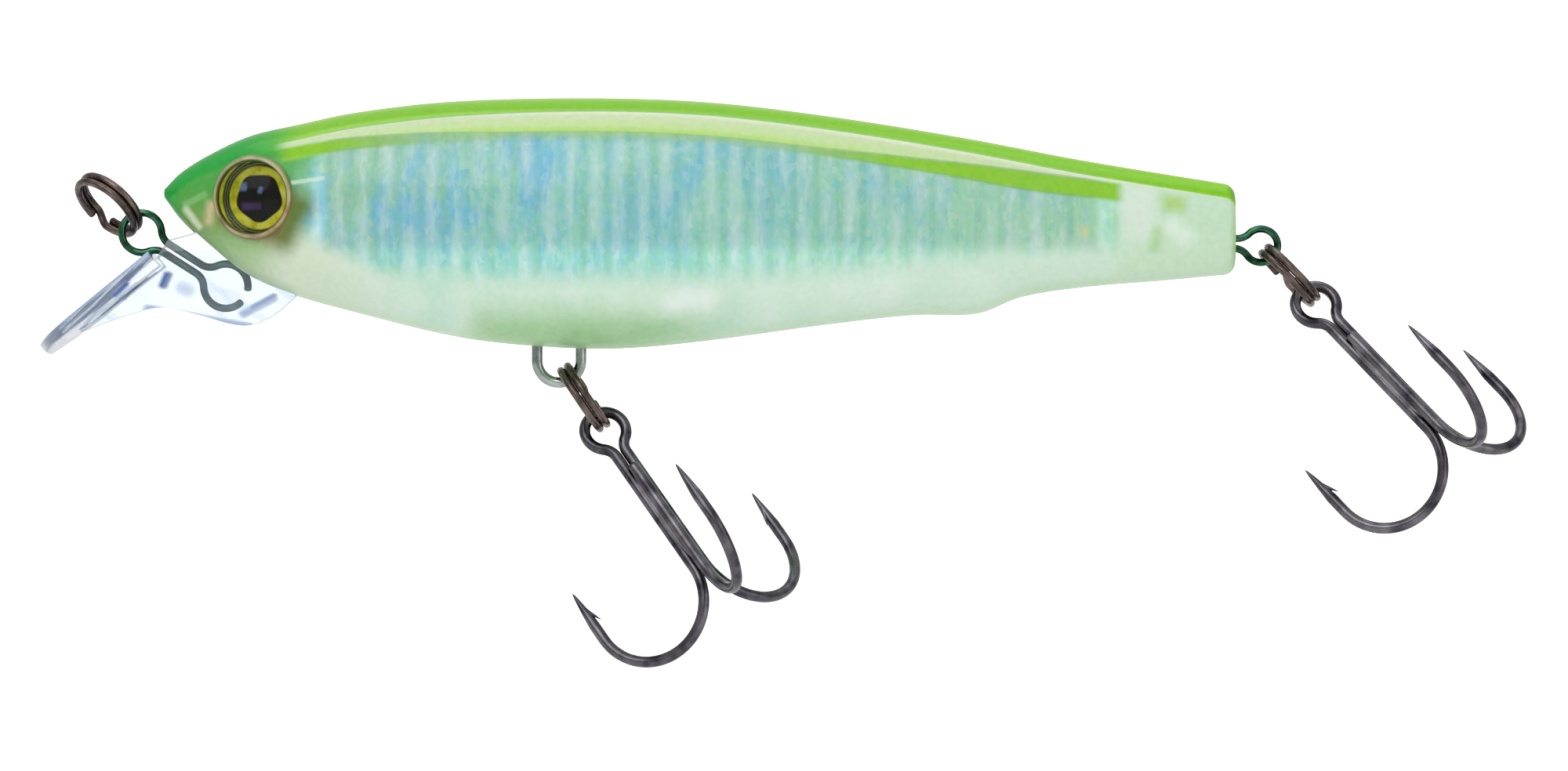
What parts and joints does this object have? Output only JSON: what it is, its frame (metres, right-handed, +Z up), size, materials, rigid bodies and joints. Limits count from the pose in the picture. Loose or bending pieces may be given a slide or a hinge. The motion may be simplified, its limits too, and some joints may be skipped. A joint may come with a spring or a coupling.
{
  "type": "crankbait lure",
  "caption": "Slim minnow-shaped crankbait with a short clear diving lip, domed eyes, foil flanks, split rings and barbed treble hooks hung from belly and tail.",
  "frame": {"origin": "centre of the line ring on the line tie, where a line or snap is fastened", "axes": "+X from nose to tail, +Y to the right flank, +Z up through the back; the left flank faces -Y"},
  "size_m": [0.0971, 0.017, 0.0371],
  "materials": {
    "body_plastic": "clear moulded plastic, sprayed lime over the back and pearl on the belly",
    "lip_plastic": "clear polycarbonate",
    "foil": "ribbed holographic foil on film",
    "eye_print": "printed foil disc, gold iris and dark pupil",
    "eye_acrylic": "clear domed acrylic",
    "wire_steel": "bright drawn stainless wire",
    "ring_steel": "black nickel plated spring steel",
    "hook_steel": "black nickel plated high-carbon steel",
    "core_plastic": "moulded centre plate",
    "weight_metal": "plain steel",
    "tube_plastic": "clear tube",
    "ball_steel": "polished bearing ball"
  },
  "bodies": {
    "lure": {"body_left": "body_plastic", "body_right": "body_plastic", "diving_lip": "lip_plastic", "foil_left": "foil", "foil_right": "foil", "eye_foil_left": "eye_print", "eye_foil_right": "eye_print", "eye_dome_left": "eye_acrylic", "eye_dome_right": "eye_acrylic", "line_tie": "wire_steel", "belly_hanger": "wire_steel", "tail_hanger": "wire_steel", "core_plate": "core_plastic", "belly_weight": "weight_metal", "transfer_tube": "tube_plastic", "tube_plug": "tube_plastic", "rattle_capsule": "tube_plastic", "capsule_plug": "tube_plastic"},
    "line_ring": {"line_ring": "ring_steel"},
    "belly_ring": {"belly_ring": "ring_steel"},
    "belly_hook": {"belly_double_hook": "hook_steel", "belly_single_hook": "hook_steel"},
    "tail_ring": {"tail_ring": "ring_steel"},
    "tail_hook": {"tail_double_hook": "hook_steel", "tail_single_hook": "hook_steel"},
    "transfer_ball": {"transfer_ball": "ball_steel"},
    "rattle_balls": {"rattle_balls": "ball_steel"}
  },
  "joints": [
    {"name": "line_ring_swing", "type": "hinge", "parent": "lure", "child": "line_ring", "pos_m": [0.00215, 0, -0.00181], "axis": [0, -1, 0], "range_deg": [-35, 60]},
    {"name": "belly_ring_swing", "type": "hinge", "parent": "lure", "child": "belly_ring", "pos_m": [0.02945, 0, -0.01019], "axis": [0, 1, 0], "range_deg": [-8, 60]},
    {"name": "belly_hook_swing", "type": "hinge", "parent": "belly_ring", "child": "belly_hook", "pos_m": [0.03107, 0, -0.01258], "axis": [0.829, 0, 0.5592], "range_deg": [-40, 40]},
    {"name": "tail_ring_swing", "type": "hinge", "parent": "lure", "child": "tail_ring", "pos_m": [0.07535, 0, -0.00266], "axis": [0, 1, 0], "range_deg": [-20, 45]},
    {"name": "tail_hook_swing", "type": "hinge", "parent": "tail_ring", "child": "tail_hook", "pos_m": [0.07722, 0, -0.00459], "axis": [0.7193, 0, 0.6947], "range_deg": [-40, 40]},
    {"name": "transfer_ball_slide", "type": "slide", "parent": "lure", "child": "transfer_ball", "axis": [0.9986, 0, 0.0523], "range_m": [0, 0.01046]},
    {"name": "rattle_balls_slide", "type": "slide", "parent": "lure", "child": "rattle_balls", "axis": [0.9986, 0, 0.0523], "range_m": [0, 0.00314]}
  ]
}
